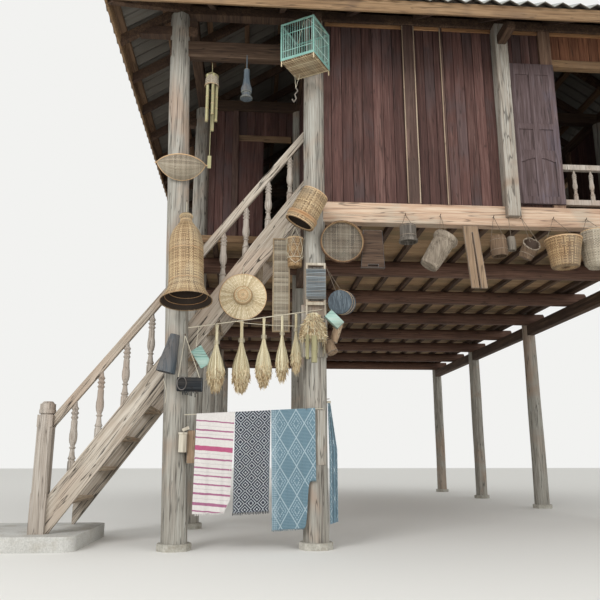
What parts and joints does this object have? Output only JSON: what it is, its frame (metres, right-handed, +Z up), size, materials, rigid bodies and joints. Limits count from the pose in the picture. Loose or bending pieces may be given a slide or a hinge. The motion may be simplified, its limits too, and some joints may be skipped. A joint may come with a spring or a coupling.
{
  "type": "stilt house",
  "caption": "Timber house on log columns, with plank walls, hipped sheet roof, gallery and outside stair with turned balusters.",
  "frame": {"origin": "on the ground at the crossing of the left column row and the front column row", "axes": "+X along the front wall to the right, +Y into the house, +Z up"},
  "size_m": [8.3158, 12.5076, 7.4883],
  "materials": {
    "log_wood": "weathered grey hardwood logs, hewn and dry cracked",
    "beam_wood": "dark brown hardwood beams, rough sawn",
    "plank_wood": "red brown planks, vertical, dry and matt",
    "trim_wood": "yellow brown boards, planed",
    "stair_wood": "sun bleached hardwood, cracked along the grain",
    "roof_sheet": "grey fibre cement sheet, matt and stained",
    "wicker": "split bamboo and rattan, woven, brown with age",
    "straw": "pale straw and bamboo, dry",
    "pot_wood": "turned dark wood, grey with dust",
    "cage_paint": "thin slats and wires, pale green paint",
    "cloth": "hand woven cotton cloth with woven bands and lozenges",
    "stone": "flat field stone, rough",
    "concrete": "pale cast concrete, trowelled"
  },
  "bodies": {
    "root": {"column_footings": "stone", "front_left_column": "log_wood", "stair_head_column": "log_wood", "front_right_column": "log_wood", "house_columns": "log_wood", "floor_bearers": "beam_wood", "floor_girders": "beam_wood", "floor_joists": "beam_wood", "front_rim_beam": "beam_wood", "stair_head_beam": "beam_wood", "wall_sills": "beam_wood", "floor_boards": "trim_wood", "gallery_floor": "trim_wood", "gallery_edge_board": "trim_wood", "front_wall": "plank_wood", "cross_wall": "plank_wood", "gallery_wall": "plank_wood", "gallery_door_leaf": "plank_wood", "left_wall": "plank_wood", "right_wall": "plank_wood", "rear_wall": "plank_wood", "front_post": "log_wood", "wall_studs": "trim_wood", "window_jambs": "trim_wood", "window_lintels": "trim_wood", "window_balustrades": "stair_wood", "shutters": "plank_wood", "top_rails": "trim_wood", "wall_plates": "beam_wood", "stair_bay_tie": "beam_wood", "tie_beams": "beam_wood", "ridge_beam": "beam_wood", "eave_outriggers": "beam_wood", "rafters": "beam_wood", "hip_rafters": "beam_wood", "roof_battens": "trim_wood", "eave_fascia": "trim_wood", "end_roof_sheets": "roof_sheet", "side_roof_sheets": "roof_sheet", "roof_caps": "roof_sheet", "stair_plinth": "concrete", "stair_stringers": "stair_wood", "stair_treads": "stair_wood", "stair_newel": "stair_wood", "stair_handrail": "stair_wood", "stair_balusters": "stair_wood", "fish_trap": "wicker", "saddle_tray": "wicker", "woven_baskets": "wicker", "round_sieve": "wicker", "straw_hat": "straw", "bird_cage": "cage_paint", "hung_pots": "pot_wood", "hung_woodware": "beam_wood", "straw_bundle": "straw", "reed_panel": "wicker", "bamboo_chime": "straw", "grain_sheaves": "straw", "hung_lines": "straw", "hung_cloths": "cloth"}
  },
  "joints": []
}
